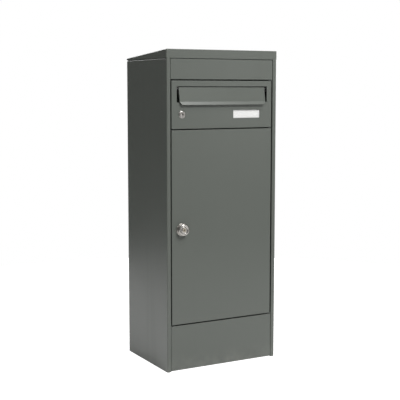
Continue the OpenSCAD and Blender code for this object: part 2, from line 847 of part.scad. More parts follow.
// ---- Cam locks ----
// Cam standing up from its shaft, with a round foot and a rounded tip
module cam(z, shaft_d) {
    tip_r = 3;
    color(zinc) difference() {
        along_y(cam_y, cam_y + cam_t) translate([lock_x, z]) union() {
            circle(d = cam_w);
            translate([-cam_w / 2, 0]) square([cam_w, cam_len - tip_r]);
            translate([-cam_w / 2 + tip_r, 0]) square([cam_w - 2 * tip_r, cam_len]);
            for (sx = [-1, 1]) translate([sx * (cam_w / 2 - tip_r), cam_len - tip_r]) circle(r = tip_r);
        }
        bar_y(lock_x, z, shaft_d / 2, cam_y - over, cam_y + cam_t + over);
    }
}

module letter_lock_plug() {
    key_h = lock_plug_d * 0.62;
    key_w = 1.6;
    proud = 0.3;
    front = face_y - lock_head_t + plug_recess - proud;
    key_depth = 4;
    color(nickel) difference() {
        union() {
            bar_y(lock_x, letter_lock_z, lock_plug_d / 2, front, barrel_y);
            bar_y(lock_x, letter_lock_z, tail_d / 2, barrel_y, cam_y + cam_t);
        }
        block(lock_x - key_w / 2, lock_x + key_w / 2, front - over, front + key_depth,
              letter_lock_z - key_h / 2, letter_lock_z + key_h / 2);
    }
}

module letter_lock_cam() {
    cam(letter_lock_z, tail_d);
}

module letter_cam_screw() {
    head_r = tail_d / 2 + 1.5;
    color(zinc) bar_y(lock_x, letter_lock_z, head_r, cam_y + cam_t, cam_y + cam_t + screw_head_t);
}

// ---- Parcel door ----
module parcel_door_panel() {
    color(paint) difference() {
        door_pan(parcel_z0, parcel_z1);
        bar_y(lock_x, knob_z, knob_barrel_d / 2, face_y - over, face_y + t + over);
    }
}

module parcel_door_stiffener() {
    hat_w = 40;
    foot = 15;
    hat_back = door_back_y - 2 * t;
    color(inner_paint) along_z(parcel_z0 + door_lip_w + t, parcel_z1 - door_lip_w - t)
        folded([[-hat_w / 2 - foot, face_y + t + mid], [-hat_w / 2, face_y + t + mid],
                [-hat_w / 2, hat_back], [hat_w / 2, hat_back], [hat_w / 2, face_y + t + mid],
                [hat_w / 2 + foot, face_y + t + mid]]);
}

module parcel_lock_rose() {
    edge_r = 1.2;
    inner_r = spindle_d / 2 + 3;
    color(nickel) on_door_face(knob_z) rotate_extrude() polygon([
        [inner_r, 0], [rose_d / 2, 0],
        each arc([rose_d / 2 - edge_r, rose_t - edge_r], edge_r, 0, 90), [inner_r, rose_t]]);
}

module parcel_lock_barrel() {
    color(zinc) difference() {
        bar_y(lock_x, knob_z, knob_barrel_d / 2, face_y, barrel_y);
        bar_y(lock_x, knob_z, spindle_d / 2 + run_clear, face_y - over, barrel_y + over);
    }
}

module parcel_lock_nut() {
    nut_r = knob_barrel_d / 2 + 6;
    color(zinc) difference() {
        bar_y(lock_x, knob_z, nut_r, face_y + t, face_y + t + nut_t, 6);
        bar_y(lock_x, knob_z, knob_barrel_d / 2, face_y, face_y + 2 * t + nut_t);
    }
}

module parcel_knob() {
    r = knob_d / 2;
    edge_r = 4;
    under_cut = 3;   // chamfer at the back of the knob
    rim = 2.5;       // flat ring inside the rounded edge
    dish = 1;        // depth of the turned groove
    boss = 2;        // flat ring round the core
    color(nickel) translate([lock_x, knob_y1, knob_z]) rotate([90, 0, 0]) difference() {
        rotate_extrude() polygon([
            [0, 0], [r - under_cut, 0], [r, under_cut],
            each arc([r - edge_r, knob_t - edge_r], edge_r, 0, 90),
            [r - edge_r - rim, knob_t], [r - edge_r - rim - dish, knob_t - dish],
            [core_d / 2 + boss + dish, knob_t - dish], [core_d / 2 + boss, knob_t], [0, knob_t]]);
        translate([0, 0, knob_t - core_depth])
            cylinder(r = core_d / 2 + run_clear, h = core_depth + over);
        translate([0, 0, -over]) cylinder(d = spindle_d, h = over + knob_t - core_depth - core_seat_t);
    }
}

module parcel_spindle() {
    color(steel) {
        bar_y(lock_x, knob_z, spindle_d / 2, knob_y0 + core_depth + core_seat_t, barrel_y);
        bar_y(lock_x, knob_z, tail_d / 2, barrel_y, cam_y + cam_t);
    }
}

module parcel_lock_cam() {
    cam(knob_z, tail_d);
}

module parcel_cam_nut() {
    nut_r = tail_d / 2 + 3;
    color(zinc) bar_y(lock_x, knob_z, nut_r, cam_y + cam_t, cam_y + cam_t + nut_t, 6);
}

module parcel_key_core() {
    key_h = core_d * 0.6;
    key_w = 1.8;
    proud = 0.6;
    color(brass) difference() {
        bar_y(lock_x, knob_z, core_d / 2, knob_y0 - proud, knob_y0 + core_depth - end_clear);
        block(lock_x - key_w / 2, lock_x + key_w / 2, knob_y0 - proud - over, knob_y0 + core_depth / 2,
              knob_z - key_h / 2, knob_z + key_h / 2);
    }
}

left_side_panel();
right_side_panel();
rear_panel();
roof();
inner_top();
top_fascia();
divider_shelf();
letter_sill();
shelf_rails();
floor_panel();
floor_rails();
plinth_panel();
plinth_brackets();
base_plate();
upper_hinge_lug();
middle_hinge_lug();
lower_hinge_lug();
hinge_pins();
roof_screws();
fascia_screws();
plinth_screws();
rear_rivets();
parcel_door_seal();
letter_door_buffers();
letter_door_panel();
letter_door_bushes();
flap_brackets();
flap_rod();
flap_rod_clips();
flap_spacers();
flap_buffers();
mail_hood();
nameplate_pane();
nameplate_card();
nameplate_holder();
letter_lock_housing();
letter_lock_nut();
letter_flap();
letter_lock_plug();
letter_lock_cam();
letter_cam_screw();
parcel_door_panel();
parcel_door_bushes();
parcel_door_stiffener();
parcel_lock_rose();
parcel_lock_barrel();
parcel_lock_nut();
parcel_knob();
parcel_spindle();
parcel_lock_cam();
parcel_cam_nut();
parcel_key_core();
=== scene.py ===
import json
import math

import bmesh
import bpy
from mathutils import Euler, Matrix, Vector


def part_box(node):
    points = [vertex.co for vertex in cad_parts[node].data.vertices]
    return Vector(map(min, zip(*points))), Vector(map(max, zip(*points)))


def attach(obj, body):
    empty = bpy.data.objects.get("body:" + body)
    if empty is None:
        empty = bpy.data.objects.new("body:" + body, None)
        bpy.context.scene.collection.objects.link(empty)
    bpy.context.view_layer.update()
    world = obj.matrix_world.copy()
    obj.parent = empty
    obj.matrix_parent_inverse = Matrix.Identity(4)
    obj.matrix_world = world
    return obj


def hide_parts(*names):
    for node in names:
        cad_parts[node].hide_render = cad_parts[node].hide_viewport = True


# Letter and parcel box pillar: the finishes and fine details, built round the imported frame.
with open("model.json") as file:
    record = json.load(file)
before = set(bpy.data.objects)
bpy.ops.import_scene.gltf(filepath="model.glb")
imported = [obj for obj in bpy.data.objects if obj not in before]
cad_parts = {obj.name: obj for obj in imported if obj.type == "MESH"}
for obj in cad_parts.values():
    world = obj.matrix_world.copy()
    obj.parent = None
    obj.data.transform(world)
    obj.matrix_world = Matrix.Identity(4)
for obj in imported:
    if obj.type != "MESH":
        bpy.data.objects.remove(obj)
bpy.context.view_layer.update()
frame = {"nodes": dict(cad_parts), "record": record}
nodes = frame["nodes"]
bodyOf = {node: body for body, names in frame["record"]["behaviour"]["bodies"].items() for node in names}
slotOf = {part["node"]: part["material_slot"] for part in frame["record"]["subparts"]}
mm = 0.001
print("frame loaded:", len(nodes), "nodes")


class Wire:
    # an output socket that takes part in sums
    def __init__(self, graph, socket):
        self.graph, self.socket = graph, socket

    def also(self, name):
        # another output of the same node
        return Wire(self.graph, self.socket.node.outputs[name])

    def __add__(self, other):
        return self.graph.maths("ADD", self, other)

    def __sub__(self, other):
        return self.graph.maths("SUBTRACT", self, other)

    def __rsub__(self, other):
        return self.graph.maths("SUBTRACT", other, self)

    def __mul__(self, other):
        return self.graph.maths("MULTIPLY", self, other)

    def __truediv__(self, other):
        return self.graph.maths("DIVIDE", self, other)

    __radd__ = __add__
    __rmul__ = __mul__


class Graph:
    # a node tree, for a material, the world or a geometry modifier
    def __init__(self, tree):
        self.tree = tree

    def join(self, value, socket):
        # a list links each of its wires, None leaves the socket as it is
        if isinstance(value, list):
            for wire in value:
                self.join(wire, socket)
        elif isinstance(value, Wire):
            self.tree.links.new(value.socket, socket)
        elif value is not None:
            socket.default_value = value

    def add(self, kind, settings=None, *values, out=0, **named):
        node = self.tree.nodes.new(kind)
        for key, value in (settings or {}).items():
            if key == "stops":
                ramp = node.color_ramp.elements
                for k, (at, tone) in enumerate(value):
                    stop = ramp[k] if k < 2 else ramp.new(at)
                    stop.position, stop.color = at, (tone, tone, tone, 1)
            else:
                setattr(node, key, value)
        for key, value in enumerate(values):
            self.join(value, node.inputs[key])
        for key, value in named.items():
            self.join(value, node.inputs[key.replace("_", " ")])
        return Wire(self, node.outputs[out]) if node.outputs else None

    def maths(self, operation, first, second):
        return self.add("ShaderNodeMath", {"operation": operation}, first, second)

    def clamped(self, value):
        return self.add("ShaderNodeMath", {"operation": "MULTIPLY", "use_clamp": True}, value, 1.0)

    def near(self, value, middle, reach):
        # 1 where the value is within reach of the middle
        return self.add("ShaderNodeMath", {"operation": "COMPARE"}, value, middle, reach)

    def blend(self, factor, first, second):
        # the colour inputs of a Mix node stand at 6 and 7
        return self.add("ShaderNodeMix", {"data_type": "RGBA"}, factor, *[None] * 5, first, second, out=2)

    def ramp(self, value, *stops):
        return self.add("ShaderNodeValToRGB", {"stops": stops}, value)

    def noise(self, at, scale, detail):
        return self.add("ShaderNodeTexNoise", {}, Vector=at, Scale=scale, Detail=detail)


class Finish(Graph):
    # a material with one Principled shader: constants on its sockets, wires for what varies
    def __init__(self, name, **constants):
        self.material = bpy.data.materials.new(name)
        self.material.use_nodes = True
        super().__init__(self.material.node_tree)
        self.shader = self.tree.nodes["Principled BSDF"]
        self.feed(**constants)
        self.place = self.add("ShaderNodeTexCoord", out="Object")

    def feed(self, **named):
        for key, value in named.items():
            self.join(value, self.shader.inputs[key.replace("_", " ")])
        return self.material

    def stretched(self, scale, centre=(0, 0, 0)):
        moved = self.add("ShaderNodeVectorMath", {"operation": "SUBTRACT"}, self.place, centre)
        return self.add("ShaderNodeMapping", {}, Vector=moved, Scale=scale)

    def bumps(self, height, strength, distance, normal=None):
        return self.add("ShaderNodeBump", {}, Strength=strength, Distance=distance, Height=height,
                        Normal=normal)


def tint(rgb, share=1.0):
    return (rgb[0] * share, rgb[1] * share, rgb[2] * share, 1.0)


coat = {
    # grey-green satin powder coat, inside a little darker and rougher
    "tone": (0.100, 0.110, 0.097),
    "innerTone": (0.092, 0.101, 0.091),
    "roughness": 0.36,
    "innerRougher": 0.08,
    "contrast": 0.28,               # furthest that the patterns lighten or darken the tone
    "driftSize": 3.2,               # slow change across a sheet, in waves to the metre
    "drift": 0.05,
    "driftRough": 0.1,
    "speckleSize": 2600,            # grain of the powder
    "speckle": 0.07,
    "speckleRough": 0.12,
    "runShape": (46, 46, 1.6),      # faint upright marks of running water
    "runStops": ((0.52, 0.0), (0.74, 1.0)),
    "run": 0.014,
    "runRough": 0.05,
    "dustHeight": 0.07,             # metres above the floor that catch dust
    "dustSize": 38,
    "dustStops": ((0.35, 0.0), (0.75, 1.0)),
    "dustTone": (0.32, 0.31, 0.29),
    "dust": 0.3,
    "dustRough": 0.25,
    "peelSize": 620,                # orange peel
    "peel": 0.16,
    "peelDepth": 0.12 * mm,
    "waveSize": 9,                  # sheet that is not quite flat
    "wave": 0.05,
    "waveDepth": 4 * mm,
}
seam = {
    # painted shade in the mouths of the joints round the doors, where the gaps lie in shadow
    "tone": 0.12,                   # share of the paint's tone that is left
    "spare": 0.2 * mm,              # how far it goes past the joint's edges
    "start": 1.0 * mm,              # behind the doors' faces
    "depth": 9 * mm,
    "stops": ((0.0, 0.0), (0.08, 1.0), (0.6, 0.8), (1.0, 0.0)),
}


def seamPaintedShade(paint):
    # painted shade: a mask over the door joints, behind the doors' faces, where the paint is darkened to
    # stand for the shadow in the gaps
    letterDoor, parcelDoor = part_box("letter_door_panel"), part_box("parcel_door_panel")
    fascia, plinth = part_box("top_fascia"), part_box("plinth_panel")
    parts = paint.add("ShaderNodeSeparateXYZ", {}, paint.place)
    x, y, z = (parts.also(axis) for axis in "XYZ")
    side, spare = letterDoor[1].x, seam["spare"]
    gap = letterDoor[0].z - parcelDoor[1].z
    across = paint.maths("ABSOLUTE", x, 0.0)
    upright = paint.near(across, side + gap / 2, gap / 2 + spare)
    paintedShade = upright * paint.maths("LESS_THAN", z, letterDoor[1].z)
    paintedShade = paintedShade * paint.maths("GREATER_THAN", z, parcelDoor[0].z)
    for below, above in ((letterDoor, fascia), (parcelDoor, letterDoor), (plinth, parcelDoor)):
        low, high = below[1].z, above[0].z
        level = paint.near(z, (low + high) / 2, (high - low) / 2 + spare)
        paintedShade = paint.maths("MAXIMUM", paintedShade, level * paint.maths("LESS_THAN", across, side))
    behind = (y - (letterDoor[0].y + seam["start"])) / seam["depth"]
    return paintedShade * paint.ramp(behind, *seam["stops"])


def powderCoat(name, tone, roughness, seams=False):
    paint = Finish(name, IOR=1.5)
    drift = paint.noise(paint.place, coat["driftSize"], detail=3.0) - 0.5
    speckle = paint.noise(paint.place, coat["speckleSize"], detail=1.0) - 0.5
    runs = paint.ramp(paint.noise(paint.stretched(coat["runShape"]), 1.0, detail=3.0), *coat["runStops"])
    height = paint.add("ShaderNodeSeparateXYZ", {}, paint.place, out="Z")
    low = paint.clamped(1 - height / coat["dustHeight"])
    dust = low * low * paint.ramp(paint.noise(paint.place, coat["dustSize"], detail=4.0), *coat["dustStops"])
    level = drift * coat["drift"] + speckle * coat["speckle"] - runs * coat["run"]
    shade = paint.blend(level + 0.5, tint(tone, 1 - coat["contrast"]), tint(tone, 1 + coat["contrast"]))
    shade = paint.blend(dust * coat["dust"], shade, tint(coat["dustTone"]))
    # painted shade in the door joints darkens the coat's colour
    if seams:
        shade = paint.blend(seamPaintedShade(paint), shade, tint(tone, seam["tone"]))
    peel = paint.noise(paint.place, coat["peelSize"], detail=1.5)
    wave = paint.noise(paint.place, coat["waveSize"], detail=2.0)
    normal = paint.bumps(peel, coat["peel"], coat["peelDepth"])
    normal = paint.bumps(wave, coat["wave"], coat["waveDepth"], normal)
    rough = roughness + drift * coat["driftRough"] + speckle * coat["speckleRough"]
    rough = rough + runs * coat["runRough"] + dust * coat["dustRough"]
    return paint.feed(Base_Color=shade, Roughness=rough, Normal=normal)


zinc = {
    "spangleSize": 260.0,
    "cloudSize": 40,
    "tones": ((0.5, 0.51, 0.53), (0.72, 0.72, 0.71)),
    "glint": (0.8, 0.8, 0.79),
    "glintShare": 0.25,
    "roughness": 0.3,
    "spangleRough": 0.14,
    "cloudRough": 0.2,
}


def zincPlate(name):
    metal = Finish(name, Metallic=1.0)
    spangle = metal.add("ShaderNodeTexVoronoi", {"feature": "F1"}, Vector=metal.place,
                        Scale=zinc["spangleSize"], out="Color")
    cell = metal.add("ShaderNodeSeparateColor", {}, spangle, out="Red")
    cloud = metal.noise(metal.place, zinc["cloudSize"], detail=3.0)
    shade = metal.blend(cloud, *(tint(tone) for tone in zinc["tones"]))
    shade = metal.blend(cell * zinc["glintShare"], shade, tint(zinc["glint"]))
    rough = zinc["roughness"] + cell * zinc["spangleRough"] + (cloud - 0.5) * zinc["cloudRough"]
    return metal.feed(Base_Color=shade, Roughness=rough)


drawn = {
    "lineShape": (900, 900, 18),    # drawing marks along the pins
    "tones": ((0.42, 0.42, 0.41), (0.66, 0.66, 0.65)),
    "roughness": 0.24,
    "lineRough": 0.16,
}


def drawnSteel(name):
    steel = Finish(name, Metallic=1.0)
    lines = steel.noise(steel.stretched(drawn["lineShape"]), 1.0, detail=2.0)
    shade = steel.blend(lines, *(tint(tone) for tone in drawn["tones"]))
    return steel.feed(Base_Color=shade, Roughness=drawn["roughness"] + lines * drawn["lineRough"])


lathe = {
    # satin nickel on the knob and the letter lock, washed brass on the key core
    "nickel": ((0.33, 0.318, 0.298), (0.54, 0.522, 0.492)),
    "nickelRoughness": 0.3,
    "brass": ((0.4, 0.36, 0.29), (0.58, 0.53, 0.44)),
    "brassRoughness": 0.34,
    "markSize": 2400.0,             # tool marks to the metre of radius
    "markShare": 0.6,
    "markRough": 0.16,
    "markRelief": 0.22,
    "markDepth": 0.03 * mm,
    "cloudSize": 120,
    "cloudRough": 0.08,
}


def turnedMetal(name, tones, roughness, centre):
    # the tool marks run in rings round the lock's axis
    metal = Finish(name, Metallic=1.0)
    flat = metal.stretched((1, 0, 1), centre)
    radius = metal.add("ShaderNodeVectorMath", {"operation": "LENGTH"}, flat, out="Value")
    marks = metal.add("ShaderNodeTexNoise", {"noise_dimensions": "1D"}, W=radius * lathe["markSize"],
                      Scale=1.0, Detail=2.0)
    cloud = metal.noise(metal.place, lathe["cloudSize"], detail=3.0)
    mixed = marks * lathe["markShare"] + cloud * (1 - lathe["markShare"])
    shade = metal.blend(mixed, *(tint(tone) for tone in tones))
    rough = roughness + (marks - 0.5) * lathe["markRough"] + (cloud - 0.5) * lathe["cloudRough"]
    return metal.feed(Base_Color=shade, Roughness=rough,
                      Normal=metal.bumps(marks, lathe["markRelief"], lathe["markDepth"]))


moulded = {
    "nylon": {"tone": (0.022, 0.022, 0.023), "roughness": 0.42, "pitSize": 1500},
    "rubber": {"tone": (0.014, 0.014, 0.014), "roughness": 0.7, "pitSize": 900},
    "cloudSize": 60,
    "darkest": 0.75,
    "lightest": 1.3,
    "pitRough": 0.2,
    "pitRelief": 0.2,
    "pitDepth": 0.1 * mm,
}


def blackPlastic(name, kind):
    plastic, given = Finish(name), moulded[kind]
    pits = plastic.noise(plastic.place, given["pitSize"], detail=2.0)
    cloud = plastic.noise(plastic.place, moulded["cloudSize"], detail=2.0)
    shade = plastic.blend(cloud, *(tint(given["tone"], moulded[end]) for end in ("darkest", "lightest")))
    rough = given["roughness"] + (pits - 0.5) * moulded["pitRough"]
    return plastic.feed(Base_Color=shade, Roughness=rough,
                        Normal=plastic.bumps(pits, moulded["pitRelief"], moulded["pitDepth"]))


nameplate = {
    "paneTint": (0.92, 0.94, 0.94),
    "paneIndex": 1.49,
    "paneAlpha": 0.06,
    "paneRoughness": 0.05,
    "smearShape": (30, 30, 90),
    "smearStops": ((0.4, 0.0), (0.8, 1.0)),
    "smearRough": 0.1,
    "cardTones": ((0.7, 0.695, 0.68), (0.76, 0.755, 0.74)),
    "fibreShape": (900, 900, 300),
    "cardRoughness": 0.6,
    "fibreRough": 0.1,
    "paneGap": 0.06 * mm,           # hair of air between the pane and the card behind it
}


def clearPane(name):
    pane = Finish(name, Base_Color=tint(nameplate["paneTint"]), IOR=nameplate["paneIndex"],
                  Alpha=nameplate["paneAlpha"])
    smears = pane.noise(pane.stretched(nameplate["smearShape"]), 1.0, detail=3.0)
    smears = pane.ramp(smears, *nameplate["smearStops"])
    return pane.feed(Roughness=nameplate["paneRoughness"] + smears * nameplate["smearRough"])


def whiteCard(name):
    card = Finish(name)
    fibres = card.noise(card.stretched(nameplate["fibreShape"]), 1.0, detail=3.0)
    shade = card.blend(fibres, *(tint(tone) for tone in nameplate["cardTones"]))
    return card.feed(Base_Color=shade,
                     Roughness=nameplate["cardRoughness"] + (fibres - 0.5) * nameplate["fibreRough"])


def middleOf(node):
    low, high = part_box(node)
    return (low + high) / 2


letterLockAt, knobAt = middleOf("letter_lock_housing"), middleOf("parcel_knob")
finishes = {
    "shell_paint": powderCoat("powderCoat", coat["tone"], coat["roughness"], seams=True),
    "inner_paint": powderCoat("innerPowderCoat", coat["innerTone"], coat["roughness"] + coat["innerRougher"]),
    "zinc_plated": zincPlate("zincPlate"),
    "satin_nickel": turnedMetal("satinNickelKnob", lathe["nickel"], lathe["nickelRoughness"], knobAt),
    "pin_steel": drawnSteel("drawnSteel"),
    "core_brass": turnedMetal("washedBrass", lathe["brass"], lathe["brassRoughness"], knobAt),
    "black_nylon": blackPlastic("blackNylon", "nylon"),
    "black_rubber": blackPlastic("blackRubber", "rubber"),
    "clear_pane": clearPane("clearPane"),
    "name_card": whiteCard("whiteCard"),
}
lockNickel = turnedMetal("satinNickelLock", lathe["nickel"], lathe["nickelRoughness"], letterLockAt)
print("finishes made:", len(finishes) + 1)


def pieceName(node):
    first, *rest = node.split("_")
    return first + "".join(word.capitalize() for word in rest)


def addObject(name, data):
    piece = bpy.data.objects.new(name, data)
    bpy.context.scene.collection.objects.link(piece)
    return piece


def standFor(piece, node, finish=None):
    # gives a finished piece its finish, body and slot, in place of the node it stands for
    piece.data.materials.clear()
    piece.data.materials.append(finish or finishes[slotOf[node]])
    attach(piece, bodyOf[node])
    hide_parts(node)


def shadeSmooth(mesh, sharp):
    mesh.polygons.foreach_set("use_smooth", [True] * len(mesh.polygons))
    mesh.set_sharp_from_angle(angle=math.radians(sharp))


crease = 35                         # degrees from which an edge is drawn sharp


def meshOf(form, name, sharp=crease):
    mesh = bpy.data.meshes.new(name)
    form.to_mesh(mesh)
    form.free()
    shadeSmooth(mesh, sharp)
    return mesh


def evaluated(piece):
    # the mesh that the piece's modifiers make
    return bpy.data.meshes.new_from_object(piece.evaluated_get(bpy.context.evaluated_depsgraph_get()))


def weldedForm(node):
    # copy of a CAD node with its loose triangles joined up
    form = bmesh.new()
    form.from_mesh(nodes[node].data)
    bmesh.ops.remove_doubles(form, verts=form.verts, dist=0.002 * mm)
    return form


edges = {
    "flat": 0.4,                    # degrees within which neighbouring facets are one face
    "sharp": 60,
    "broken": 30,                   # degrees from which an edge is rounded
    "wide": 0.4 * mm,               # a wider break is rounded in three steps, not two
    "faceWeight": 90,
    "breaks": {
        # how far the edges of each piece are rounded
        0.30 * mm: ["left_side_panel", "right_side_panel", "roof", "top_fascia", "plinth_panel",
                    "letter_door_panel", "parcel_door_panel", "letter_flap", "mail_hood", "rear_panel",
                    "divider_shelf", "letter_sill", "floor_panel", "inner_top", "parcel_door_stiffener",
                    "shelf_rails", "floor_rails", "plinth_brackets", "flap_brackets", "base_plate"],
        0.25 * mm: ["upper_hinge_lug", "middle_hinge_lug", "lower_hinge_lug", "letter_lock_cam",
                    "parcel_lock_cam", "hinge_pins", "flap_rod"],
        0.45 * mm: ["letter_lock_nut", "parcel_lock_nut", "parcel_cam_nut", "nameplate_holder",
                    "letter_door_bushes", "parcel_door_bushes", "flap_spacers"],
        0.15 * mm: ["nameplate_pane", "nameplate_card", "flap_rod_clips", "parcel_spindle"],
        0.80 * mm: ["parcel_door_seal", "letter_door_buffers"],
        0.20 * mm: ["flap_buffers"],
    },
}


def softened(node, width):
    # the node's own shape with its flats merged and its raw edges broken
    form = weldedForm(node)
    bmesh.ops.dissolve_limit(form, angle_limit=math.radians(edges["flat"]), verts=form.verts,
                             edges=form.edges)
    piece = addObject(pieceName(node), meshOf(form, pieceName(node), edges["sharp"]))
    bevel = piece.modifiers.new("brokenEdges", "BEVEL")
    bevel.width, bevel.segments = width, 3 if width > edges["wide"] else 2
    bevel.limit_method, bevel.angle_limit = "ANGLE", math.radians(edges["broken"])
    bevel.miter_outer, bevel.harden_normals = "MITER_ARC", True
    weighted = piece.modifiers.new("flatFaces", "WEIGHTED_NORMAL")
    weighted.keep_sharp, weighted.weight = False, edges["faceWeight"]
    return piece


for width, names in edges["breaks"].items():
    for node in names:
        standFor(softened(node, width), node)
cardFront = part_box("nameplate_card")[0].y + nameplate["paneGap"]
for v in bpy.data.objects["nameplateCard"].data.vertices:
    v.co.y = max(v.co.y, cardFront)
print("sheets and fittings finished:", sum(len(names) for names in edges["breaks"].values()))


def prism(form, ends):
    # closed shape between two equal outlines
    near, far = ([form.verts.new(point) for point in end] for end in ends)
    form.faces.new(near)
    form.faces.new(reversed(far))
    for k in range(len(near)):
        form.faces.new((near[k - 1], far[k - 1], far[k], near[k]))


cheek = {
    # folded ends of the flap, which close the wedge between its leaning face and the door
    "thickness": 1.2 * mm,
    "behindFace": 1.9 * mm,
    "flapSheet": 1.5 * mm,
    "lap": 0.3 * mm,
    "tip": 0.6 * mm,
    "rise": 0.4 * mm,
    "foldBand": (8 * mm, 13 * mm),  # above the flap's lowest edge, where its face starts to lean
    "crownBand": 5 * mm,
}


def makeFlapCheeks():
    low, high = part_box("letter_flap")
    corners = [v.co for v in nodes["letter_flap"].data.vertices]
    foldLow, foldHigh = (low.z + reach for reach in cheek["foldBand"])
    fold = min((c for c in corners if foldLow < c.z < foldHigh), key=lambda c: c.y)
    crown = min((c for c in corners if c.z > high.z - cheek["crownBand"]), key=lambda c: c.y)
    lean = (crown.y - fold.y) / (crown.z - fold.z)
    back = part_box("letter_door_panel")[0].y + cheek["behindFace"]
    front, tip = fold.y + cheek["flapSheet"] - cheek["lap"], back - cheek["tip"]
    top = fold.z + (tip - front) / lean
    outline = [(front, fold.z), (back, fold.z + cheek["rise"]), (back, top), (tip, top)]
    form = bmesh.new()
    for x in (low.x, high.x - cheek["thickness"]):
        prism(form, [[(at, y, z) for y, z in outline] for at in (x, x + cheek["thickness"])])
    bmesh.ops.recalc_face_normals(form, faces=form.faces)
    piece = addObject("flapCheeks", meshOf(form, "flapCheeks"))
    piece.data.materials.append(finishes["shell_paint"])
    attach(piece, "letter_flap")


makeFlapCheeks()
print("flap cheeks folded")


def filleted(points, radius):
    # rounds the inner corners of a profile
    steps, most = 4, 0.45           # a fillet takes up less than half of either side
    out = [points[0]]
    for before, at, after in zip(points, points[1:], points[2:]):
        a, b, c = Vector(before), Vector(at), Vector(after)
        toA, toC = a - b, c - b
        reach = min(radius, toA.length * most, toC.length * most)
        start, end = b + toA.normalized() * reach, b + toC.normalized() * reach
        for k in range(steps + 1):
            t = k / steps
            out.append(tuple(start * (1 - t) ** 2 + b * 2 * t * (1 - t) + end * t * t))
    return out + [points[-1]]


def roundedEdge(radius, front, across, deep, steps):
    # quarter of an ellipse, from the side of a turned part on to its face
    angles = [math.pi / 2 * k / steps for k in range(steps + 1)]
    return [(radius - across + across * math.cos(a), front + deep - deep * math.sin(a)) for a in angles]


def threads(radius, depth, pitch, yFrom, yTo):
    # saw-tooth profile along a barrel
    rise, fall = 0.35, 0.55         # shares of the pitch
    count = max(1, int(abs(yTo - yFrom) / pitch))
    step = (yTo - yFrom) / count
    points = []
    for k in range(count):
        y = yFrom + step * k
        points += [(radius - depth, y), (radius, y + step * rise), (radius, y + step * fall)]
    return points + [(radius - depth, yTo)]


def turned(profile, centre, segments):
    # profile: (radius, y) from pole to pole, or a closed loop clear of the axis
    form = bmesh.new()
    angles = [2 * math.pi * k / segments for k in range(segments)]
    rings = []
    for radius, y in profile:
        around = angles if radius > 1e-7 else [0]
        rings.append([form.verts.new((centre.x + radius * math.cos(a), y, centre.z + radius * math.sin(a)))
                      for a in around])
    closed = len(rings[0]) > 1
    for first, second in zip(rings, rings[1:] + ([rings[0]] if closed else [])):
        for k in range(segments):
            after = (k + 1) % segments
            corners = [first[k % len(first)], first[after % len(first)], second[after % len(second)],
                       second[k % len(second)]]
            form.faces.new(list(dict.fromkeys(corners)))
    bmesh.ops.recalc_face_normals(form, faces=form.faces)
    return form


def turnedPiece(node, profile, centre, sides, sharp, finish=None):
    # a piece made on the lathe, in place of its node
    name = pieceName(node)
    standFor(addObject(name, meshOf(turned(profile, centre, sides), name, sharp)), node, finish)


def carvedPiece(node, profile, centre, sides, cutter, finish=None):
    # a turned piece less a cutter, as one plain mesh
    name = pieceName(node)
    body = addObject(name, meshOf(turned(profile, centre, sides), name))
    tool = addObject(name + "Cutter", meshOf(cutter, name + "Cutter"))
    cut = body.modifiers.new("cut", "BOOLEAN")
    cut.operation, cut.object, cut.solver = "DIFFERENCE", tool, "EXACT"
    result = evaluated(body)
    body.modifiers.remove(cut)
    body.data = result
    bpy.data.objects.remove(tool)
    result.set_sharp_from_angle(angle=math.radians(crease))
    standFor(body, node, finish)


keySlot = {
    # stepped slot, as shares of its width and height
    "half": 0.54,
    "ward": 0.18,
    "step": 0.06,
    "ahead": 1 * mm,                # how far the cutter stands in front of the face
    "depth": 4 * mm,
}


def keyway(centre, width, height, front):
    half, ward, step = keySlot["half"], keySlot["ward"], keySlot["step"]
    outline = [(-half, -0.5), (ward, -0.5), (ward, -step), (half, -step),
               (half, 0.5), (-ward, 0.5), (-ward, step), (-half, step)]
    form = bmesh.new()
    prism(form, [[(centre.x + x * width, y, centre.z + z * height) for x, z in outline]
                 for y in (front - keySlot["ahead"], front + keySlot["depth"])])
    bmesh.ops.recalc_face_normals(form, faces=form.faces)
    return form


def radiusOf(node):
    low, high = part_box(node)
    return (high.x - low.x) / 2


slack = 0.05 * mm                   # between turned parts that sit in each other
knob = {
    "underCut": 3.0 * mm,
    "fillet": 0.5 * mm,
    "edge": 4.0 * mm,
    "edgeSteps": 10,
    "rim": 2.5 * mm,
    "dish": 1.0 * mm,
    "collar": 2.0 * mm,             # raised ring round the key core
    "chamfer": 0.25 * mm,
    "grooves": 3,                   # fine turned lines in the dish
    "grooveStart": 0.7,
    "grooveSpare": 0.4,
    "grooveWidth": 0.12 * mm,
    "grooveDepth": 0.14 * mm,
    "sides": 128,
    "sharp": 50,
    "coreFillet": 0.45 * mm,
    "coreSides": 72,
    "keyWidth": 1.8 * mm,
    "keyHeight": 7.6 * mm,
}


def makeKnob():
    front, back = (corner.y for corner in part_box("parcel_knob"))
    radius, core = radiusOf("parcel_knob"), radiusOf("parcel_key_core") + slack
    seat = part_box("parcel_key_core")[1].y + 2 * slack
    edge, cut, floor = knob["edge"], knob["underCut"], front + knob["dish"]
    side = filleted([(0, back), (radius - cut, back), (radius, back - cut)], knob["fillet"])[:-1]
    inRim = radius - edge - knob["rim"]
    outer, collar = inRim - knob["dish"], core + knob["collar"]
    inner = collar + knob["dish"]
    face = [(inRim, front), (outer, floor)]
    for k in range(knob["grooves"]):
        at = outer - (outer - inner) * (k + knob["grooveStart"]) / (knob["grooves"] + knob["grooveSpare"])
        face += [(at + knob["grooveWidth"], floor), (at, floor + knob["grooveDepth"]),
                 (at - knob["grooveWidth"], floor)]
    face += [(inner, floor), (collar, front), (core + knob["chamfer"], front),
             (core, front + knob["chamfer"]), (core, seat), (0, seat)]
    profile = side + roundedEdge(radius, front, edge, edge, knob["edgeSteps"]) + face
    turnedPiece("parcel_knob", profile, knobAt, knob["sides"], knob["sharp"])


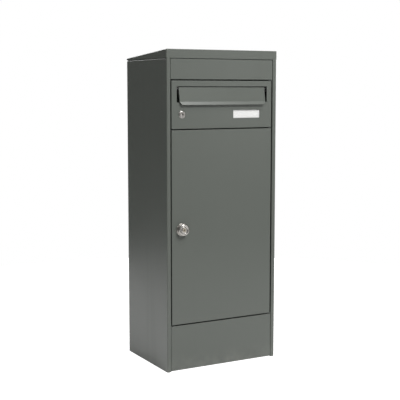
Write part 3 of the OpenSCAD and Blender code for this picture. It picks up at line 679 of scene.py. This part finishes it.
def makeKeyCore():
    front, back = (corner.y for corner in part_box("parcel_key_core"))
    radius = radiusOf("parcel_key_core")
    profile = filleted([(0, front), (radius, front), (radius, back), (0, back)], knob["coreFillet"])
    slot = keyway(knobAt, knob["keyWidth"], knob["keyHeight"], front)
    carvedPiece("parcel_key_core", profile, knobAt, knob["coreSides"], slot)


rose = {
    "bore": 8 * mm,
    "edge": 1.2 * mm,
    "edgeSteps": 6,
    "line": 3.2 * mm,               # turned line, in from the rim
    "lineWidth": 0.2 * mm,
}


def makeRose():
    front, back = (corner.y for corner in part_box("parcel_lock_rose"))
    radius, bore, width = radiusOf("parcel_lock_rose"), rose["bore"], rose["lineWidth"]
    line = radius - rose["line"]
    rim = roundedEdge(radius, front, rose["edge"], rose["edge"], rose["edgeSteps"])
    profile = [(bore, back), (radius, back), *rim, (line, front), (line - width, front + width),
               (line - 2 * width, front), (bore, front)]
    turnedPiece("parcel_lock_rose", profile, knobAt, knob["sides"], knob["sharp"])


barrel = {
    "thread": 0.5 * mm,
    "pitch": 1.4 * mm,
    "plain": 1.6 * mm,              # unthreaded start behind the rose
    "sides": 72,
    "sharp": 25,
}


def makeBarrel():
    front, back = (corner.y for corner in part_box("parcel_lock_barrel"))
    radius, bore = radiusOf("parcel_lock_barrel"), radiusOf("parcel_spindle") + slack
    start = front + barrel["plain"]
    turns = threads(radius, barrel["thread"], barrel["pitch"], start, back)
    profile = [(bore, front), (radius, front), (radius, start), *turns, (bore, back)]
    turnedPiece("parcel_lock_barrel", profile, knobAt, barrel["sides"], barrel["sharp"])


smallLock = {
    "headHeight": 2.5 * mm,
    "foot": 0.5 * mm,               # upright foot under the domed rim
    "rimSteps": 12,
    "crown": 1.7 * mm,              # the rim's highest ring, out from the plug
    "chamfer": 0.25 * mm,
    "recess": 0.6 * mm,
    "barrelRadius": 8.5 * mm,
    "thread": 0.4 * mm,
    "pitch": 1.0 * mm,
    "plainEnd": 0.2 * mm,
    "sides": 112,
    "sharp": 32,
    "plugRadius": 6.5 * mm,
    "plugChamfer": 0.5 * mm,
    "dish": 0.35 * mm,              # hollow of the plug's face
    "dishReach": 0.8,
    "plugSides": 72,
    "tailRadius": 4 * mm,
    "keyWidth": 1.6 * mm,
    "keyHeight": 7.8 * mm,
}


def makeLetterLock():
    front, back = (corner.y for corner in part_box("letter_lock_housing"))
    radius, bore = radiusOf("letter_lock_housing"), smallLock["plugRadius"] + slack
    shank, thread, recess = smallLock["barrelRadius"], smallLock["thread"], front + smallLock["recess"]
    under, crown = front + smallLock["headHeight"], bore + smallLock["crown"]
    lip = crown - smallLock["chamfer"]
    rim = roundedEdge(radius, front, radius - crown, smallLock["headHeight"] - smallLock["foot"],
                      smallLock["rimSteps"])
    turns = threads(shank, thread, smallLock["pitch"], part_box("letter_lock_nut")[0].y,
                    back - smallLock["plainEnd"])
    profile = [(bore, back), (shank - thread, back), *reversed(turns), (shank, under), (radius, under), *rim,
               (lip, front + smallLock["chamfer"]), (lip, recess), (bore, recess)]
    turnedPiece("letter_lock_housing", profile, letterLockAt, smallLock["sides"], smallLock["sharp"],
                lockNickel)


def makeLetterPlug():
    front, back = (corner.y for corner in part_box("letter_lock_plug"))
    radius, tail, chamfer = smallLock["plugRadius"], smallLock["tailRadius"], smallLock["plugChamfer"]
    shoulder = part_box("letter_lock_cam")[0].y - chamfer
    dished = [(radius * smallLock["dishReach"] * share, front + smallLock["dish"] * (1 - share ** 2))
              for share in (0, 0.3, 0.6, 0.85, 1)]
    profile = [*dished, (radius - chamfer, front), (radius, front + chamfer), (radius, shoulder),
               (tail, shoulder), (tail, back), (0, back)]
    slot = keyway(letterLockAt, smallLock["keyWidth"], smallLock["keyHeight"], front)
    carvedPiece("letter_lock_plug", profile, letterLockAt, smallLock["plugSides"], slot, lockNickel)


makeKnob()
makeKeyCore()
makeRose()
makeBarrel()
makeLetterLock()
makeLetterPlug()
print("locks turned")

fastener = {
    "inputs": [("Head Radius", "NodeSocketFloat", 4.5 * mm), ("Head Height", "NodeSocketFloat", 2.5 * mm),
               ("Shank Radius", "NodeSocketFloat", 2.5 * mm), ("Shank Length", "NodeSocketFloat", 8 * mm),
               ("Recess Radius", "NodeSocketFloat", 1.6 * mm), ("Recess Depth", "NodeSocketFloat", 1.2 * mm),
               ("Recess Sides", "NodeSocketInt", 6), ("Facing", "NodeSocketVector", (0, 0, 0)),
               ("Seed", "NodeSocketInt", 5), ("Finish", "NodeSocketMaterial", None)],
    "headSides": 40,
    "shankSides": 24,
    "domeSteps": 6,
    "domeReach": 0.94,              # share of a quarter turn that the dome covers
    "domeEase": 0.8,
    "upright": 0.3,                 # share of the head's height that stands upright
    "sharp": 28,
    "kinds": {
        # Facing turns the heads from +Z towards the way they look
        "roof_screws": {"Head Height": 2.5 * mm, "Facing": (math.pi, 0, 0)},
        "fascia_screws": {"Head Height": 2.5 * mm, "Facing": (-math.pi / 2, 0, 0)},
        "plinth_screws": {"Head Height": 0.75 * mm, "Recess Depth": 0.5 * mm, "Facing": (0, 0, 0)},
        "rear_rivets": {"Head Height": 1.2 * mm, "Head Radius": 4.75 * mm, "Shank Radius": 2.4 * mm,
                        "Recess Radius": 1.5 * mm, "Recess Depth": 0.5 * mm, "Recess Sides": 20,
                        "Facing": (-math.pi / 2, 0, 0)},
    },
}


def domeSteps():
    # (width, height) of a head from its base up, as shares of its own
    steps, upright = fastener["domeSteps"], fastener["upright"]
    reach, ease = math.pi / 2 * fastener["domeReach"], fastener["domeEase"]
    angles = [reach * (k / steps) ** ease for k in range(1, steps + 1)]
    dome = [(math.cos(a), upright + (1 - upright) * math.sin(a) / math.sin(reach)) for a in angles]
    return [(1.0, 0.0), (1.0, upright), *dome]


def fastenerTree():
    # one head and shank, stood on every point of the mesh that carries the modifier
    tree = bpy.data.node_groups.new("fastenerRow", "GeometryNodeTree")
    tree.interface.new_socket("Geometry", in_out="INPUT", socket_type="NodeSocketGeometry")
    for name, kind, value in fastener["inputs"]:
        socket = tree.interface.new_socket(name, in_out="INPUT", socket_type=kind)
        if value is not None:
            socket.default_value = value
    tree.interface.new_socket("Geometry", in_out="OUTPUT", socket_type="NodeSocketGeometry")
    graph = Graph(tree)
    given = graph.add("NodeGroupInput").also
    base = graph.add("GeometryNodeMeshCircle", {"fill_type": "NGON"}, Vertices=fastener["headSides"],
                     Radius=given("Head Radius"))
    head, top = base, True
    steps = domeSteps()
    for (wide, low), (narrow, high) in zip(steps, steps[1:]):
        raised = graph.add("GeometryNodeExtrudeMesh", {"mode": "FACES"}, Mesh=head, Selection=top,
                           Offset_Scale=given("Head Height") * (high - low), Individual=False)
        top = raised.also("Top")
        head = graph.add("GeometryNodeScaleElements", {"domain": "FACE"}, Geometry=raised, Selection=top,
                         Scale=narrow / wide)
    under = graph.add("GeometryNodeFlipFaces", {}, Mesh=base)
    head = graph.add("GeometryNodeJoinGeometry", {}, [under, head])
    head = graph.add("GeometryNodeMergeByDistance", {}, Geometry=head, Distance=0.001 * mm)
    bit = graph.add("GeometryNodeMeshCylinder", {}, Vertices=given("Recess Sides"),
                    Radius=given("Recess Radius"), Depth=given("Recess Depth") * 2)
    bit = graph.add("GeometryNodeTransform", {}, Geometry=bit,
                    Translation=graph.add("ShaderNodeCombineXYZ", {}, Z=given("Head Height")))
    head = graph.add("GeometryNodeMeshBoolean", {"operation": "DIFFERENCE", "solver": "EXACT"}, Mesh_1=head,
                     Mesh_2=bit)
    shank = graph.add("GeometryNodeMeshCylinder", {}, Vertices=fastener["shankSides"],
                      Radius=given("Shank Radius"), Depth=given("Shank Length"))
    shank = graph.add("GeometryNodeTransform", {}, Geometry=shank,
                      Translation=graph.add("ShaderNodeCombineXYZ", {}, Z=given("Shank Length") * -0.5))
    whole = graph.add("GeometryNodeJoinGeometry", {}, [head, shank])
    twist = graph.add("FunctionNodeRandomValue", {"data_type": "FLOAT"}, None, None, 0.0, 2 * math.pi,
                      Seed=given("Seed"), out=1)
    turn = graph.add("FunctionNodeRotateEuler", {"rotation_type": "EULER", "space": "LOCAL"},
                     given("Facing"), graph.add("ShaderNodeCombineXYZ", {}, Z=twist))
    row = graph.add("GeometryNodeInstanceOnPoints", {}, Points=given("Geometry"), Instance=whole,
                    Rotation=turn)
    row = graph.add("GeometryNodeRealizeInstances", {}, row)
    row = graph.add("GeometryNodeSetMaterial", {}, Geometry=row, Material=given("Finish"))
    graph.add("NodeGroupOutput", {}, row)
    return tree


def islands(form):
    # the corners of each separate shell
    left = set(form.verts)
    while left:
        island, queue = [], [left.pop()]
        while queue:
            v = queue.pop()
            island.append(v.co.copy())
            for other in (e.other_vert(v) for e in v.link_edges):
                if other in left:
                    left.remove(other)
                    queue.append(other)
        yield island


def fastenerPlaces(node, facing, headHeight):
    # middle of each head's underside and length of its shank, from the node's own solids
    form = weldedForm(node)
    axis = Euler(facing).to_matrix() @ Vector((0, 0, 1))
    found = []
    for island in islands(form):
        low = Vector(min(c[k] for c in island) for k in range(3))
        high = Vector(max(c[k] for c in island) for k in range(3))
        reach = abs((high - low).dot(axis)) / 2
        found.append(((low + high) / 2 + axis * (reach - headHeight), 2 * reach - headHeight))
    form.free()
    return found


def makeFasteners(node, sizes):
    found = fastenerPlaces(node, sizes["Facing"], sizes["Head Height"])
    mesh = bpy.data.meshes.new(pieceName(node))
    mesh.from_pydata([at for at, _ in found], [], [])
    piece = addObject(pieceName(node), mesh)
    row = piece.modifiers.new("fastenerRow", "NODES")
    row.node_group = fastenerRow
    wanted = {"Shank Length": found[0][1], "Finish": finishes[slotOf[node]], **sizes}
    for item in fastenerRow.interface.items_tree:
        if item.in_out == "INPUT" and item.name in wanted:
            row[item.identifier] = wanted[item.name]
    bpy.context.view_layer.update()
    made = evaluated(piece)
    piece.modifiers.remove(row)
    piece.data = made
    shadeSmooth(made, fastener["sharp"])
    standFor(piece, node)


fastenerRow = fastenerTree()
for node, sizes in fastener["kinds"].items():
    makeFasteners(node, sizes)
standFor(softened("letter_cam_screw", 0.5 * mm), "letter_cam_screw")
print("screws and rivets placed")

studio = {
    "floorReach": 1.9,
    "floorSides": 96,
    "floorDrop": 0.5 * mm,
    "floorTones": (0.8, 0.82),
    "floorGlow": 1.0,
    "floorBehind": 0.53,            # what the left side mirrors, further back
    "floorAhead": 0.46,
    "floorTurn": (-0.675, 0.225),   # between these distances the one passes into the other
    "floorBounce": 0.18,            # how much of it the paint takes up
    "skyForCamera": 1.0,
    "skyForObject": 0.115,
    "lamps": {
        # name: place, aim, size in metres, power in watts
        "frontSoftbox": ((0.5, -2.3, 2.9), (0, -0.15, 0.67), (1.1, 0.7), 86),
        "topSoftbox": ((0.2, -1.2, 3.0), (0, -0.15, 0.8), (0.8, 0.6), 16),
        "lowRightPanel": ((1.85, -3.0, 0.95), (0, -0.15, 0.7), (0.7, 0.9), 6),
        "leftPanel": ((-2.3, -1.4, 0.9), (-0.1, -0.15, 0.7), (0.9, 1.8), 3),
        "leftAccent": ((-1.5, -0.6, 2.1), (-0.15, -0.15, 0.6), (0.35, 0.5), 3.6),
        "rearRim": ((-0.5, 2.7, 2.4), (0, 0.1, 0.8), (0.9, 0.6), 30),
        "rearFill": ((2.0, 2.4, 1.6), (0, 0.1, 0.5), (1.4, 1.4), 55),
    },
}
camera = {
    "lens": 84.66,
    "sensor": 36.0,
    "shiftUp": -0.02,
    "place": (-1.5405, -2.8011, 0.9137),
    "tilt": 90 - 6.233,
    "turn": -28.758,
}


def areaLight(name, at, aim, size, power):
    lamp = bpy.data.lights.new(name, "AREA")
    lamp.shape, lamp.size, lamp.size_y = "RECTANGLE", *size
    lamp.energy = power
    piece = addObject(name, lamp)
    piece.location = at
    piece.rotation_euler = (Vector(aim) - Vector(at)).to_track_quat("-Z", "Y").to_euler()
    piece.visible_camera = False


def makeFloor():
    # evenly bright where it is seen, darker where the paint mirrors it or takes up its light
    form = bmesh.new()
    bmesh.ops.create_circle(form, cap_ends=True, radius=studio["floorReach"],
                             segments=studio["floorSides"])
    floor = addObject("floor", meshOf(form, "floor"))
    floor.location.z = -studio["floorDrop"]
    paint = Finish("paleFloor", Roughness=0.9, Emission_Strength=1.0)
    seen = paint.add("ShaderNodeLightPath", out="Is Camera Ray")
    bounce = seen.also("Is Diffuse Ray")
    depth = paint.add("ShaderNodeSeparateXYZ", {}, paint.place, out="Y")
    start, end = studio["floorTurn"]
    behind = paint.clamped((depth - start) / (end - start))
    mirrored = behind * (studio["floorBehind"] - studio["floorAhead"]) + studio["floorAhead"]
    unseen = mirrored * (1 - bounce) + bounce * studio["floorBounce"]
    glow = unseen * (1 - seen) + seen * studio["floorGlow"]
    cloud = paint.noise(paint.place, 2.0, detail=2.0)
    pale = paint.blend(cloud, *(tint((tone,) * 3) for tone in studio["floorTones"]))
    glowing = paint.blend(glow, (0, 0, 0, 1), (1, 1, 1, 1))
    floor.data.materials.append(paint.feed(Base_Color=pale, Emission_Color=glowing))


def makeSky():
    world = bpy.data.worlds.new("studio")
    bpy.context.scene.world = world
    world.use_nodes = True
    sky = Graph(world.node_tree)
    seen = sky.add("ShaderNodeLightPath", out="Is Camera Ray")
    backdrop = world.node_tree.nodes["Background"]
    sky.join(seen * (studio["skyForCamera"] - studio["skyForObject"]) + studio["skyForObject"],
             backdrop.inputs["Strength"])
    sky.join((1, 1, 1, 1), backdrop.inputs["Color"])


def makeCamera():
    view = bpy.data.cameras.new("camera")
    view.lens, view.sensor_width, view.shift_y = camera["lens"], camera["sensor"], camera["shiftUp"]
    piece = addObject("camera", view)
    piece.location = camera["place"]
    piece.rotation_euler = (math.radians(camera["tilt"]), 0, math.radians(camera["turn"]))
    bpy.context.scene.camera = piece


makeFloor()
makeSky()
for name, lamp in studio["lamps"].items():
    areaLight(name, *lamp)
makeCamera()
bpy.context.scene.view_settings.view_transform = "Standard"
print("studio ready")
